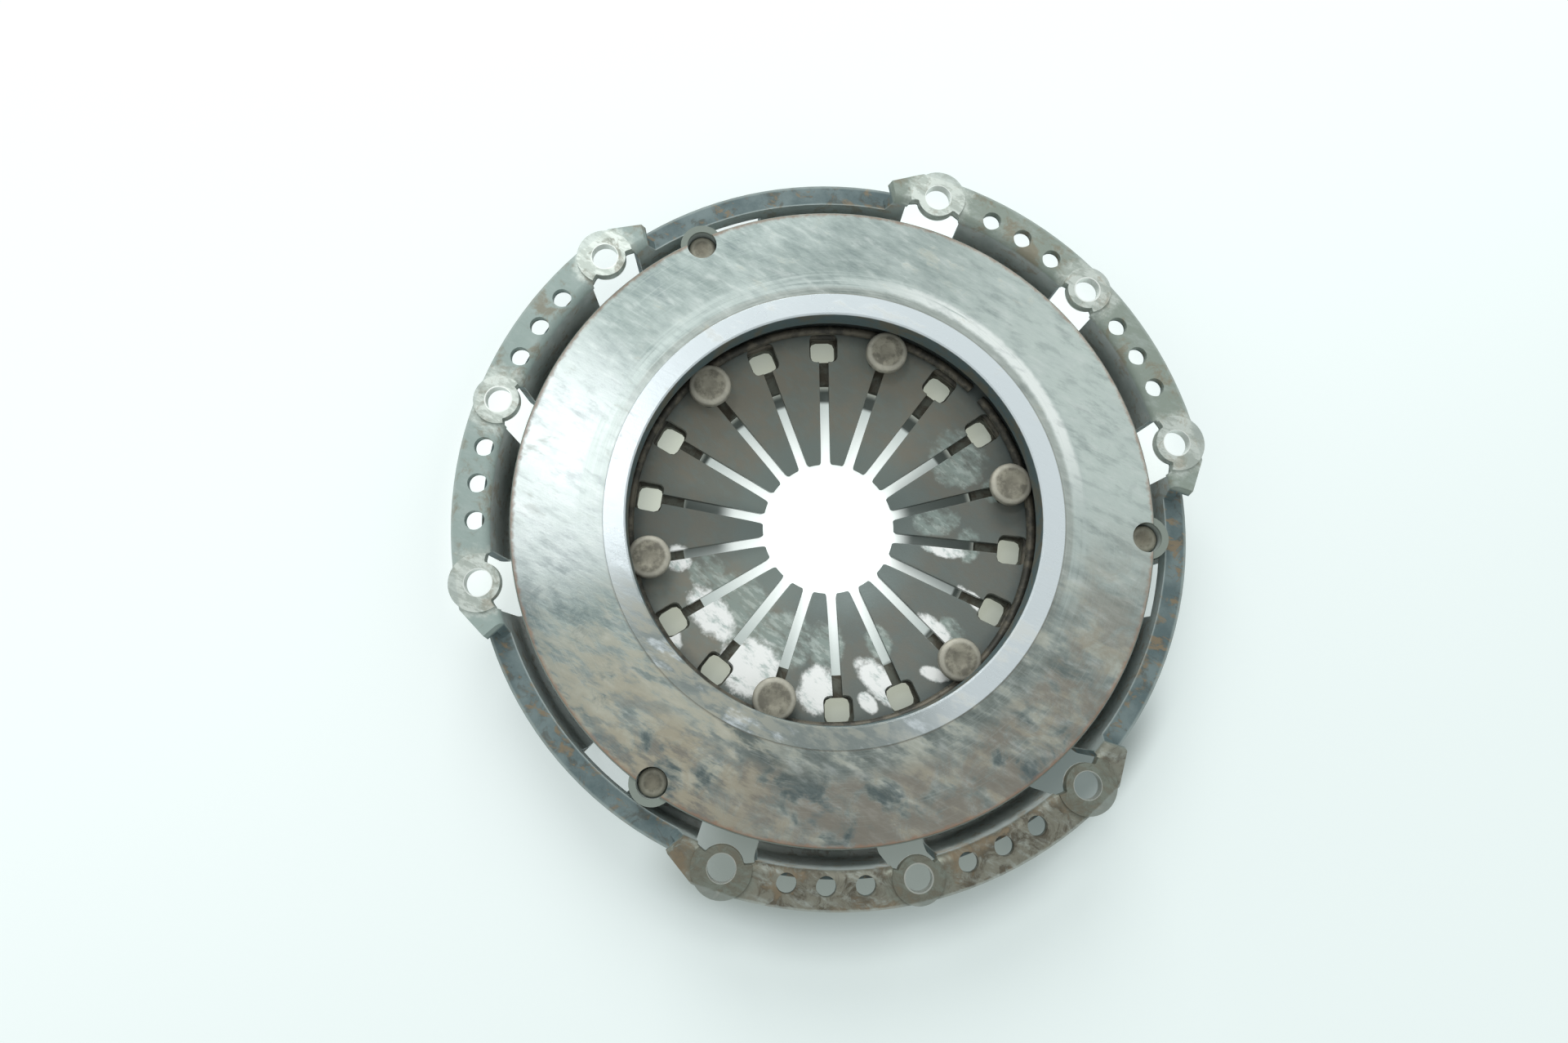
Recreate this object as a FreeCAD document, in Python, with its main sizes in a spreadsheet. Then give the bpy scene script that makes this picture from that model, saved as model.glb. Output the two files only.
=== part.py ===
import FreeCAD, Part
import Sketcher
import os
from FreeCAD import Rotation, Vector

# Clutch pressure plate for a 200 mm friction disc, in millimetres and degrees.
# The origin is the centre of the bolt circle on the plane of the bolt pads, and +Z points
# to the flywheel. The plate stands in its free state, before it is bolted down.

SIZES = {
    # bolting
    "bolt_offset": 4.4,
    "bolt_hole": 8.4,
    "dowel_hole": 8.0,
    "trim_hole": 6.0,
    "trim_first_angle": 8.0,
    "trim_step_angle": 6.0,
    # pressed steel cover
    "sheet": 2.8,
    "flange_margin": 7.0,
    "pad_raise": 0.6,
    "bolt_pad": 4.8,
    "dowel_pad": 3.8,
    "tongue_margin": 2.4,
    "bolt_notch": 19.0,
    "dowel_notch": 15.0,
    "notch_margin": 1.5,
    "notch_stop": 3.0,
    "notch_corner": 3.0,
    "wall_notch_stop": 0.6,
    "wall_gap": 0.8,
    "wall_inset": 0.5,
    "back_bend": 3.0,
    "flange_fold": 3.0,
    "corner_cut": 0.5,
    "corner_angle": 32.0,
    "flange_tail": 13.5,
    "lip_drop": 8.0,
    "lip_width": 3.7,
    "lip_ramp": 3.0,
    "lip_run": 3.5,
    "opening_inset": 10.7,
    "dish_angle": 17.0,
    "dish_width": 5.5,
    "cover_window_long": 8.0,
    "cover_window_wide": 8.4,
    "window_corner": 2.0,
    "side_window": 19.0,
    "side_window_angle": 96.2,
    "side_window_top": 13.0,
    "side_window_reach": 8.5,
    # cast pressure plate
    "plate_diameter": 203.2,
    "face_width": 35.85,
    "face_drop": 3.0,
    "band_width": 6.95,
    "track_wear": 0.25,
    "body_thickness": 10.0,
    "lip_thickness": 7.9,
    "lip_land": 3.75,
    "rim_thickness": 8.0,
    "rim_step": 2.5,
    "ridge_inset": 21.1,
    "ridge_width": 1.8,
    "ridge_flank": 2.6,
    "ridge_gap": 0.3,
    "edge_bevel": 0.6,
    "lug_angle": 104.0,
    "lug_inset": 2.3,
    "lug_radius": 7.0,
    "lug_drop": 1.0,
    "counterbore": 9.6,
    "counterbore_depth": 4.5,
    # diaphragm spring
    "spring_overlap": 3.5,
    "spring_bore": 44.8,
    "spring_thickness": 2.4,
    "cone_angle": 14.0,
    "finger_count": 18.0,
    "slit_width": 3.2,
    "spring_window_offset": 0.6,
    "spring_window_long": 9.4,
    "spring_window_wide": 9.6,
    "tip_length": 7.6,
    "tip_curl": 0.5,
    # pivot rings
    "pivot_offset": 5.7,
    "wire": 3.0,
    "wire_split_angle": 4.0,
    "wire_turn_angle": 32.0,
    "pivot_gap": 0.03,
    # spring rivets
    "rivet_inset": 5.05,
    "rivet_head": 14.0,
    "rivet_head_height": 3.0,
    "rivet_dimple": 5.0,
    "rivet_dimple_depth": 0.8,
    "rivet_shoulder": 7.6,
    "rivet_shank": 6.0,
    "rivet_tail": 10.0,
    "rivet_tail_height": 2.2,
    "head_gap": 0.6,
    "hole_gap": 0.1,
    # drive straps
    "travel": 3.0,
    "strap_angle": 24.0,
    "strap_width": 13.5,
    "leaf": 0.7,
    "strap_shank": 6.0,
    "strap_head": 9.0,
    "strap_head_height": 1.8,
    "strap_head_gap": 0.7,
    "strap_tail_height": 2.0,
    "strap_hole_gap": 0.3,
    "seat_gap": 0.05,
    "seat_radius": 9.0,
    "seat_spring_gap": 1.0,
    "seat_wall": 2.3,
}
THIRDS = 3
LEAVES = 3
TRIM_HOLES = 3
MIDDLE = 30
MAIN_HOLES = (("bolt", "0"), ("dowel", "30"), ("bolt", "60"))
RIVET_ANGLES = ("0", "60")
WINDOW_ANGLES = ("20", "40", "80", "100")
SAME_PLACE = 0.01

doc = FreeCAD.newDocument("ClutchPressurePlate")
sheet = doc.addObject("Spreadsheet::Sheet", "Sizes")
for row, (alias, value) in enumerate(SIZES.items(), start=1):
    sheet.set(f"A{row}", alias)
    sheet.set(f"B{row}", str(value))
    sheet.setAlias(f"B{row}", alias)
doc.recompute()


def number(expression):
    value = sheet.evalExpression(expression)
    return float(getattr(value, "Value", value))


# Heights follow one chain from the bolt pads down to the back of the cover.

face = "(-Sizes.face_drop)"
track = f"({face} - Sizes.track_wear)"
lip_under = f"({face} - Sizes.lip_thickness)"
body_under = f"({face} - Sizes.body_thickness)"
rim_under = f"({face} - Sizes.rim_thickness)"
lug_top = f"({face} - Sizes.lug_drop)"
head_top = f"({lip_under} - Sizes.travel - Sizes.head_gap)"
head_under = f"({head_top} - Sizes.rivet_head_height)"
wire_seat = "((Sizes.wire / 2 + Sizes.pivot_gap) / cos(Sizes.cone_angle))"
front_wire = f"({head_under} - Sizes.wire / 2 - Sizes.pivot_gap)"
spring_front = f"({front_wire} - {wire_seat})"
spring_depth = "(Sizes.spring_thickness / cos(Sizes.cone_angle))"
rear_wire = f"({spring_front} - {spring_depth} - {wire_seat})"
back_front = f"({rear_wire} - Sizes.wire / 2 - Sizes.pivot_gap)"
back_rear = f"({back_front} - Sizes.sheet)"
flange_top = "(-Sizes.pad_raise)"
flange_under = f"({flange_top} - Sizes.sheet)"
lip_top = "(-Sizes.lip_drop)"
strap_head_top = f"({rim_under} - Sizes.travel - Sizes.strap_head_gap)"
leaves_top = f"({strap_head_top} - Sizes.strap_head_height)"
lug_under = f"({leaves_top} + Sizes.seat_gap)"
leaves_under = f"({leaves_top} - {LEAVES} * Sizes.leaf)"
seat_top = f"({leaves_under} - Sizes.seat_gap)"

# Radii follow from the plate outwards and from the spring to the strap seats.

plate_radius = "(Sizes.plate_diameter / 2)"
bore_radius = f"({plate_radius} - Sizes.face_width)"
ridge_radius = f"({plate_radius} - Sizes.ridge_inset)"
lug_place = f"({plate_radius} - Sizes.lug_inset)"
wall_top = f"({lug_place} + Sizes.lug_radius + Sizes.wall_gap)"
wall_foot = f"({wall_top} - Sizes.wall_inset)"
bolt_radius = f"({wall_top} + Sizes.bolt_offset)"
flange_edge = f"({bolt_radius} + Sizes.flange_margin)"
gap_half = f"({bolt_radius} * sin({MIDDLE}) - Sizes.flange_tail)"
lip_edge = f"({wall_top} + Sizes.sheet + Sizes.lip_width)"
rivet_radius = f"({bore_radius} - Sizes.rivet_inset)"
pivot_radius = f"({rivet_radius} + Sizes.pivot_offset)"
window_radius = f"({rivet_radius} + Sizes.spring_window_offset)"
spring_edge = f"({ridge_radius} + Sizes.spring_overlap)"
seat_place = f"({spring_edge} + Sizes.seat_spring_gap + Sizes.seat_radius)"
strap_end_angle = "(Sizes.lug_angle + Sizes.strap_angle)"
strap_length = (f"sqrt({lug_place} ^ 2 + {seat_place} ^ 2"
                f" - 2 * {lug_place} * {seat_place} * cos(Sizes.strap_angle))")
opening_radius = f"({rivet_radius} - Sizes.opening_inset)"
dish_start = f"({opening_radius} + Sizes.dish_width)"
dish_drop = "(Sizes.dish_width * tan(Sizes.dish_angle))"
dish_foot = f"({back_rear} - {dish_drop})"
sink_floor = f"({lug_top} - Sizes.counterbore_depth)"


def spring_surface(radius):
    """Height of the spring's front face at a radius."""
    return f"({spring_front} + ({radius} - {pivot_radius}) * tan(Sizes.cone_angle))"


# Small helpers that every piece is made with.

def new_body(label):
    made = doc.addObject("PartDesign::Body", label)
    made.Label = label
    return made


def origin_feature(owner, role):
    return next(item for item in owner.Origin.OriginFeatures if item.Role == role)


def drawing(owner, name, plane, height="0"):
    """An empty sketch on an origin plane, or parallel to it at a height."""
    sketch = owner.newObject("Sketcher::SketchObject", name)
    sketch.AttachmentSupport = [(origin_feature(owner, plane), "")]
    sketch.MapMode = "FlatFace"
    sketch.setExpression(".AttachmentOffset.Base.z", height)
    return sketch


def hold(sketch, geometry, point, across, up):
    """Ties a point of the sketch to its two distances from the origin."""
    for kind, expression in (("DistanceX", across), ("DistanceY", up)):
        rule = Sketcher.Constraint(kind, -1, 1, geometry, point, number(expression))
        sketch.setExpression(f"Constraints[{sketch.addConstraint(rule)}]", expression)


def draw_loop(sketch, corners):
    """Draws a closed outline through corners, each a pair of expressions."""
    points = [Vector(number(across), number(up), 0) for across, up in corners]
    lines = [sketch.addGeometry(Part.LineSegment(start, end), False)
             for start, end in zip(points, points[1:] + points[:1])]
    for line, following in zip(lines, lines[1:] + lines[:1]):
        sketch.addConstraint(Sketcher.Constraint("Coincident", line, 2, following, 1))
    for line, (across, up) in zip(lines, corners):
        hold(sketch, line, 1, across, up)


def draw_circle(sketch, radius, away, angle):
    """Draws a circle whose centre stands away mm from the origin at an angle."""
    across = f"{away} * cos({angle})"
    up = f"{away} * sin({angle})"
    centre = Vector(number(across), number(up), 0)
    circle = sketch.addGeometry(Part.Circle(centre, Vector(0, 0, 1), number(radius)), False)
    hold(sketch, circle, 3, across, up)
    rule = sketch.addConstraint(Sketcher.Constraint("Radius", circle, number(radius)))
    sketch.setExpression(f"Constraints[{rule}]", radius)


def outline(owner, name, plane, corners):
    """A closed outline in a sketch of its own."""
    sketch = drawing(owner, name, plane)
    draw_loop(sketch, corners)
    return sketch


def strip(inner, outer, width, angle, centre=("0", "0")):
    """Corners of a rectangle from an inner to an outer distance from a centre, at an angle."""
    corners = []
    for away, side in ((inner, "-"), (outer, "-"), (outer, "+"), (inner, "+")):
        other = "+" if side == "-" else "-"
        corners.append((f"{centre[0]} + {away} * cos({angle}) {other} {width} / 2 * sin({angle})",
                        f"{centre[1]} + {away} * sin({angle}) {side} {width} / 2 * cos({angle})"))
    return corners


def round_end(end, back, width, ease, angle):
    """Corners across one end of a strip, with its two outer corners eased off in two facets.

    back is the sign that leads from the end to the strip's middle."""
    corners = []
    shares = (("1", "0"), ("(1 - cos(45))", "(1 - cos(45))"), ("0", "1"))
    for side, order in (("-", shares), ("+", tuple(reversed(shares)))):
        other = "+" if side == "-" else "-"
        for along, aside in order:
            away = f"({end} {back} {ease} * {along})"
            half = f"({width} / 2 - {ease} * {aside})"
            corners.append((f"{away} * cos({angle}) {other} {half} * sin({angle})",
                            f"{away} * sin({angle}) {side} {half} * cos({angle})"))
    return corners


def turned(owner, name, corners):
    """A full revolution about Z of an outline in the XZ plane."""
    feature = owner.newObject("PartDesign::Revolution", name)
    feature.Profile = outline(owner, name + "Profile", "XZ_Plane", corners)
    feature.ReferenceAxis = (feature.Profile[0], ["V_Axis"])
    feature.Angle = 360
    return feature


def raised(owner, name, sketch, depth):
    """A pad from the sketch downwards."""
    feature = owner.newObject("PartDesign::Pad", name)
    feature.Profile = sketch
    feature.Reversed = True
    feature.setExpression("Length", depth)
    return feature


def sunk(owner, name, sketch, depth):
    """A pocket from the sketch downwards."""
    feature = owner.newObject("PartDesign::Pocket", name)
    feature.Profile = sketch
    feature.setExpression("Length", depth)
    return feature


def place(piece, radius, angle, height, turn="0"):
    """Stands a piece at a radius and an angle, turned about Z."""
    piece.setExpression(".Placement.Base.x", f"{radius} * cos({angle})")
    piece.setExpression(".Placement.Base.y", f"{radius} * sin({angle})")
    piece.setExpression(".Placement.Base.z", height)
    piece.Placement.Rotation = Rotation(Vector(0, 0, 1), number(turn))
    piece.setExpression(".Placement.Rotation.Angle", turn)


def repeated(owner, name, original, count):
    """A polar pattern about Z."""
    pattern = owner.newObject("PartDesign::PolarPattern", name)
    pattern.Originals = [original]
    pattern.Axis = (origin_feature(owner, "Z_Axis"), [""])
    pattern.Angle = 360
    pattern.Occurrences = int(count)
    owner.Tip = pattern
    return pattern


def rounded(owner, name, base, away, height, radius):
    """A fillet on the circular edge about Z that lies away mm out at a height."""
    doc.recompute()
    edges = []
    for index, edge in enumerate(base.Shape.Edges, start=1):
        if not isinstance(edge.Curve, Part.Circle):
            continue
        off = abs(edge.Curve.Radius - number(away)) + abs(edge.Curve.Center.z - number(height))
        if off < SAME_PLACE:
            edges.append(f"Edge{index}")
    feature = owner.newObject("PartDesign::Fillet", name)
    feature.Base = (base, edges)
    feature.setExpression("Radius", radius)
    return feature


# Cover: a pressed hat with three bolt flanges and three open gaps between them.

def make_cover():
    cover = new_body("cover")
    hat = turned(cover, "Hat", [
        (opening_radius, dish_foot),
        (dish_start, back_rear),
        (f"{wall_foot} + Sizes.sheet", back_rear),
        (f"{wall_top} + Sizes.sheet", flange_under),
        (flange_edge, flange_under),
        (flange_edge, flange_top),
        (wall_top, flange_top),
        (wall_foot, back_front),
        (dish_start, back_front),
        (opening_radius, f"{back_front} - {dish_drop}"),
    ])
    outer_bend = rounded(cover, "OuterBend", hat, f"{wall_foot} + Sizes.sheet", back_rear,
                         "Sizes.back_bend + Sizes.sheet")
    inner_bend = rounded(cover, "InnerBend", outer_bend, wall_foot, back_front, "Sizes.back_bend")
    rounded(cover, "FlangeFold", inner_bend, wall_top, flange_top, "Sizes.flange_fold")
    cut_gaps(cover)
    add_pads(cover)
    add_strap_seats(cover)
    punch_holes(cover)
    return cover


def cut_gaps(cover):
    """Takes the flange away between the bolt flanges and leaves a low turned-out lip, whose
    ends run on under the flanges."""
    gap = cover.newObject("PartDesign::Pocket", "Gap")
    gap.Profile = outline(cover, "GapOutline", "XZ_Plane", [
        (f"-{gap_half}", flange_top),
        (f"-{gap_half}", "Sizes.sheet"),
        (gap_half, "Sizes.sheet"),
        (gap_half, flange_top),
        (f"{gap_half} - Sizes.lip_ramp", lip_top),
        (f"-({gap_half} - Sizes.lip_ramp)", lip_top),
    ])
    gap.setExpression("Length", f"{flange_edge} + Sizes.sheet")
    repeated(cover, "Gaps", gap, THIRDS)

    corners = drawing(cover, "CornerOutlines", "XY_Plane", "Sizes.sheet")
    for angle, side in (("0", "-"), ("60", "+")):
        hole = (f"{bolt_radius} * cos({angle})", f"{bolt_radius} * sin({angle})")
        inner = "(Sizes.bolt_hole / 2 + Sizes.bolt_pad + Sizes.corner_cut)"
        draw_loop(corners, strip(inner, f"(2 * {inner})", f"(4 * {inner})",
                                 f"({angle} {side} Sizes.corner_angle)", hole))
    repeated(cover, "Corners", sunk(cover, "Corner", corners, f"Sizes.sheet - {flange_under}"), THIRDS)

    lip = cover.newObject("PartDesign::Revolution", "Lip")
    lip.Profile = outline(cover, "LipOutline", "YZ_Plane", [
        (f"{wall_top} + Sizes.sheet / 2", f"{lip_top} - Sizes.sheet"),
        (lip_edge, f"{lip_top} - Sizes.sheet"),
        (lip_edge, lip_top),
        (f"{wall_top} + Sizes.sheet / 2", lip_top),
    ])
    lip.ReferenceAxis = (lip.Profile[0], ["V_Axis"])
    lip.setExpression("Angle", f"2 * asin(({gap_half} + Sizes.lip_run) / {lip_edge})")
    lip.Midplane = True
    repeated(cover, "Lips", lip, THIRDS)


def add_pads(cover):
    """Raises a pad round each main hole, opens the flange and the wall beside it for a bolt
    head and a socket, and leaves a tongue that reaches in over that notch."""
    pads = drawing(cover, "PadCircles", "XY_Plane")
    notches = drawing(cover, "NotchOutlines", "XY_Plane", "Sizes.sheet")
    wall_notches = drawing(cover, "WallNotchOutlines", "XY_Plane", flange_under)
    tongues = drawing(cover, "TongueCircles", "XY_Plane")
    reach = "(Sizes.bolt_hole / 2 + Sizes.bolt_pad + Sizes.notch_margin)"
    for kind, angle in MAIN_HOLES:
        hole = f"Sizes.{kind}_hole / 2"
        draw_circle(pads, f"{hole} + Sizes.{kind}_pad", bolt_radius, angle)
        inner = f"({bolt_radius} - {reach})"
        width = f"Sizes.{kind}_notch"
        foot = strip(inner, f"({bolt_radius} - Sizes.wall_notch_stop)", width, angle)
        draw_loop(wall_notches, foot)
        draw_loop(notches, [foot[0], *round_end(f"({bolt_radius} - Sizes.notch_stop)", "-", width,
                                                "Sizes.notch_corner", angle), foot[3]])
        draw_circle(tongues, f"{hole} + Sizes.tongue_margin", bolt_radius, angle)
    repeated(cover, "Pads", raised(cover, "Pad", pads, f"-{flange_under}"), THIRDS)
    repeated(cover, "Notches", sunk(cover, "Notch", notches, f"Sizes.sheet - {flange_under}"), THIRDS)
    repeated(cover, "WallNotches",
             sunk(cover, "WallNotch", wall_notches, f"{flange_under} - {dish_foot}"), THIRDS)
    repeated(cover, "Tongues", raised(cover, "Tongue", tongues, f"-{flange_under}"), THIRDS)


def add_strap_seats(cover):
    """Presses three cups inwards from the back plate to carry the straps' fixed ends."""
    cup = drawing(cover, "SeatCircle", "XY_Plane", seat_top)
    draw_circle(cup, "Sizes.seat_radius", seat_place, strap_end_angle)
    repeated(cover, "Seats", raised(cover, "Seat", cup, f"{seat_top} - {back_front}"), THIRDS)
    hollow = drawing(cover, "HollowCircle", "XY_Plane", f"{seat_top} - Sizes.sheet")
    draw_circle(hollow, "Sizes.seat_radius - Sizes.seat_wall", seat_place, strap_end_angle)
    repeated(cover, "Hollows",
             sunk(cover, "Hollow", hollow, f"{seat_top} - Sizes.sheet - {back_rear}"), THIRDS)


def punch_holes(cover):
    main = drawing(cover, "FlangeCircles", "XY_Plane", "Sizes.sheet")
    for kind, angle in MAIN_HOLES:
        draw_circle(main, f"Sizes.{kind}_hole / 2", bolt_radius, angle)
    for side in (-1, 1):
        for step in range(TRIM_HOLES):
            angle = f"{MIDDLE} + {side} * (Sizes.trim_first_angle + {step} * Sizes.trim_step_angle)"
            draw_circle(main, "Sizes.trim_hole / 2", bolt_radius, angle)
    depth = f"Sizes.sheet - {flange_under} + Sizes.hole_gap"
    repeated(cover, "FlangeHoles", sunk(cover, "FlangeHole", main, depth), THIRDS)

    seat = drawing(cover, "SeatBoreCircle", "XY_Plane", seat_top)
    draw_circle(seat, "Sizes.strap_shank / 2 + Sizes.hole_gap", seat_place, strap_end_angle)
    repeated(cover, "SeatBores", sunk(cover, "SeatBore", seat, "2 * Sizes.sheet"), THIRDS)

    back = drawing(cover, "BackOutlines", "XY_Plane", back_front)
    half = "Sizes.cover_window_long / 2"
    for angle in RIVET_ANGLES:
        draw_circle(back, "Sizes.rivet_shank / 2 + Sizes.hole_gap", rivet_radius, angle)
    for angle in WINDOW_ANGLES:
        outer_end, inner_end = (round_end(f"({window_radius} {side} {half})", back_sign,
                                          "Sizes.cover_window_wide", "Sizes.window_corner", angle)
                                for side, back_sign in (("+", "-"), ("-", "+")))
        draw_loop(back, outer_end + inner_end[::-1])
    repeated(cover, "BackHoles", sunk(cover, "BackHole", back, f"{back_front} - {dish_foot}"), THIRDS)

    side = drawing(cover, "SideOutline", "XY_Plane", "-Sizes.side_window_top")
    draw_loop(side, strip(f"({wall_top} - Sizes.side_window_reach)", flange_edge,
                          "Sizes.side_window", "Sizes.side_window_angle"))
    repeated(cover, "SideWindows",
             sunk(cover, "SideWindow", side, f"-Sizes.side_window_top - {dish_foot}"), THIRDS)


# Pressure plate: a cast ring with a worn track, a fulcrum ridge behind and three lugs.

def make_pressure_plate():
    plate = new_body("pressure_plate")
    bevel = "Sizes.edge_bevel"
    band_edge = f"({bore_radius} + Sizes.band_width)"
    land_edge = f"({bore_radius} + Sizes.lip_land)"
    ridge_outer = f"({ridge_radius} + Sizes.ridge_width / 2)"
    ridge_inner = f"({ridge_radius} - Sizes.ridge_width / 2)"
    ridge_under = f"({spring_surface(ridge_outer)} + Sizes.ridge_gap)"
    turned(plate, "Casting", [
        (bore_radius, f"{face} - {bevel}"),
        (f"{bore_radius} + {bevel}", face),
        (band_edge, face),
        (f"{band_edge} + Sizes.track_wear", track),
        (f"{plate_radius} - {bevel}", track),
        (plate_radius, f"{track} - {bevel}"),
        (plate_radius, rim_under),
        (f"{spring_edge} + Sizes.rim_step", rim_under),
        (f"{ridge_outer} + Sizes.ridge_flank", body_under),
        (ridge_outer, ridge_under),
        (ridge_inner, ridge_under),
        (f"{ridge_inner} - Sizes.ridge_flank", body_under),
        (f"{land_edge} + {bevel}", body_under),
        (land_edge, lip_under),
        (bore_radius, lip_under),
    ])
    lug = drawing(plate, "LugCircle", "XY_Plane", lug_top)
    draw_circle(lug, "Sizes.lug_radius", lug_place, "Sizes.lug_angle")
    repeated(plate, "Lugs", raised(plate, "Lug", lug, f"{lug_top} - {lug_under}"), THIRDS)
    root = drawing(plate, "RootOutline", "XY_Plane", lug_top)
    draw_loop(root, strip(f"({lug_place} - Sizes.lug_radius)", lug_place,
                          "(2 * Sizes.lug_radius)", "Sizes.lug_angle"))
    repeated(plate, "Roots", raised(plate, "Root", root, f"{lug_top} - {lug_under}"), THIRDS)
    bore = drawing(plate, "BoreCircle", "XY_Plane", lug_top)
    draw_circle(bore, "Sizes.strap_shank / 2 + Sizes.hole_gap", lug_place, "Sizes.lug_angle")
    repeated(plate, "Bores", sunk(plate, "Bore", bore, f"{lug_top} - {lug_under}"), THIRDS)
    sink = drawing(plate, "SinkCircle", "XY_Plane")
    draw_circle(sink, "Sizes.counterbore / 2", lug_place, "Sizes.lug_angle")
    repeated(plate, "Sinks", sunk(plate, "Sink", sink, f"-{sink_floor}"), THIRDS)
    return plate


# Diaphragm spring: a slotted cone whose fingers end round the input shaft.

def make_diaphragm_spring():
    spring = new_body("diaphragm_spring")
    tip = "(Sizes.spring_bore / 2)"
    curl_start = f"({tip} + Sizes.tip_length)"
    turned(spring, "Cone", [
        (spring_edge, spring_surface(spring_edge)),
        (curl_start, spring_surface(curl_start)),
        (tip, f"{spring_surface(tip)} - Sizes.tip_curl"),
        (tip, f"{spring_surface(tip)} - Sizes.tip_curl - {spring_depth}"),
        (curl_start, f"{spring_surface(curl_start)} - {spring_depth}"),
        (spring_edge, f"{spring_surface(spring_edge)} - {spring_depth}"),
    ])
    inner = f"({window_radius} - Sizes.spring_window_long / 2)"
    outer = f"({window_radius} + Sizes.spring_window_long / 2)"
    slit = "Sizes.slit_width / 2"
    half = "Sizes.spring_window_wide / 2"
    keyhole = drawing(spring, "Keyhole", "XY_Plane", head_top)
    draw_loop(keyhole, [
        (f"{tip} / 2", f"-{slit}"),
        (inner, f"-{slit}"),
        (inner, f"-{half}"),
        (outer, f"-{half}"),
        (outer, half),
        (inner, half),
        (inner, slit),
        (f"{tip} / 2", slit),
    ])
    repeated(spring, "Slits", sunk(spring, "Slit", keyhole, f"{head_top} - {spring_surface('0')}"),
             number("Sizes.finger_count"))
    return spring


def make_pivot_ring(label, height):
    """A split wire ring that the spring tilts on."""
    ring = doc.addObject("Part::Torus", label)
    ring.Label = label
    ring.setExpression("Radius1", pivot_radius)
    ring.setExpression("Radius2", "Sizes.wire / 2")
    ring.setExpression("Angle3", "360 - Sizes.wire_split_angle")
    place(ring, "0", "0", height, turn="Sizes.wire_turn_angle")
    return ring


def make_spring_rivet(label, angle):
    """A shouldered rivet from the front pivot ring to behind the back plate."""
    rivet = new_body(label)
    head = "(Sizes.rivet_head / 2)"
    bevel = "Sizes.edge_bevel"
    tail_end = f"({back_rear} - Sizes.rivet_tail_height)"
    turned(rivet, "Shape", [
        ("0", f"{head_top} - Sizes.rivet_dimple_depth"),
        ("Sizes.rivet_dimple / 2", f"{head_top} - Sizes.rivet_dimple_depth / 2"),
        (f"Sizes.rivet_dimple / 2 + {bevel}", head_top),
        (f"{head} - {bevel}", head_top),
        (head, f"{head_top} - {bevel}"),
        (head, head_under),
        ("Sizes.rivet_shoulder / 2", head_under),
        ("Sizes.rivet_shoulder / 2", back_front),
        ("Sizes.rivet_shank / 2", back_front),
        ("Sizes.rivet_shank / 2", back_rear),
        ("Sizes.rivet_tail / 2", back_rear),
        (f"Sizes.rivet_tail / 2 - {bevel}", tail_end),
        ("0", tail_end),
    ])
    place(rivet, rivet_radius, angle, "0")
    return rivet


# Drive straps: packs of spring leaves from the plate's lugs to the cover's seats.

def lug_direction(strap):
    return f"(Sizes.lug_angle + {strap} * 360 / {THIRDS})"


def seat_direction(strap):
    return f"({lug_direction(strap)} + Sizes.strap_angle)"


def make_leaf(label, strap, layer):
    """One leaf, drawn from its plate end along X, then turned towards its cover end."""
    leaf = new_body(label)
    top = f"({leaves_top} - {layer} * Sizes.leaf)"
    half = "(Sizes.strap_width / 2)"
    blade = drawing(leaf, "BladeOutline", "XY_Plane", top)
    draw_loop(blade, strip("0", strap_length, "Sizes.strap_width", "0"))
    raised(leaf, "Blade", blade, "Sizes.leaf")
    ends = drawing(leaf, "EndCircles", "XY_Plane", top)
    holes = drawing(leaf, "HoleCircles", "XY_Plane", top)
    for away in ("0", strap_length):
        draw_circle(ends, half, away, "0")
        draw_circle(holes, "Sizes.strap_shank / 2 + Sizes.strap_hole_gap", away, "0")
    raised(leaf, "Ends", ends, "Sizes.leaf")
    sunk(leaf, "Holes", holes, "Sizes.leaf")
    start = lug_direction(strap)
    end = seat_direction(strap)
    rise = f"({seat_place} * sin({end}) - {lug_place} * sin({start}))"
    run = f"({seat_place} * cos({end}) - {lug_place} * cos({start}))"
    place(leaf, lug_place, start, "0", turn=f"atan2({rise}; {run})")
    return leaf


def make_strap_rivet(label, radius, angle, head_seat, tail_seat):
    """A rivet with its head on head_seat and its tail clenched under tail_seat."""
    rivet = new_body(label)
    head = "(Sizes.strap_head / 2)"
    shank = "(Sizes.strap_shank / 2)"
    bevel = "(Sizes.edge_bevel / 2)"
    top = f"({head_seat} + Sizes.strap_head_height)"
    tail_end = f"({tail_seat} - Sizes.strap_tail_height)"
    turned(rivet, "Shape", [
        ("0", top),
        (f"{head} - {bevel}", top),
        (head, f"{top} - {bevel}"),
        (head, head_seat),
        (shank, head_seat),
        (shank, tail_seat),
        (head, tail_seat),
        (f"{head} - {bevel}", tail_end),
        ("0", tail_end),
    ])
    place(rivet, radius, angle, "0")
    return rivet


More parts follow.
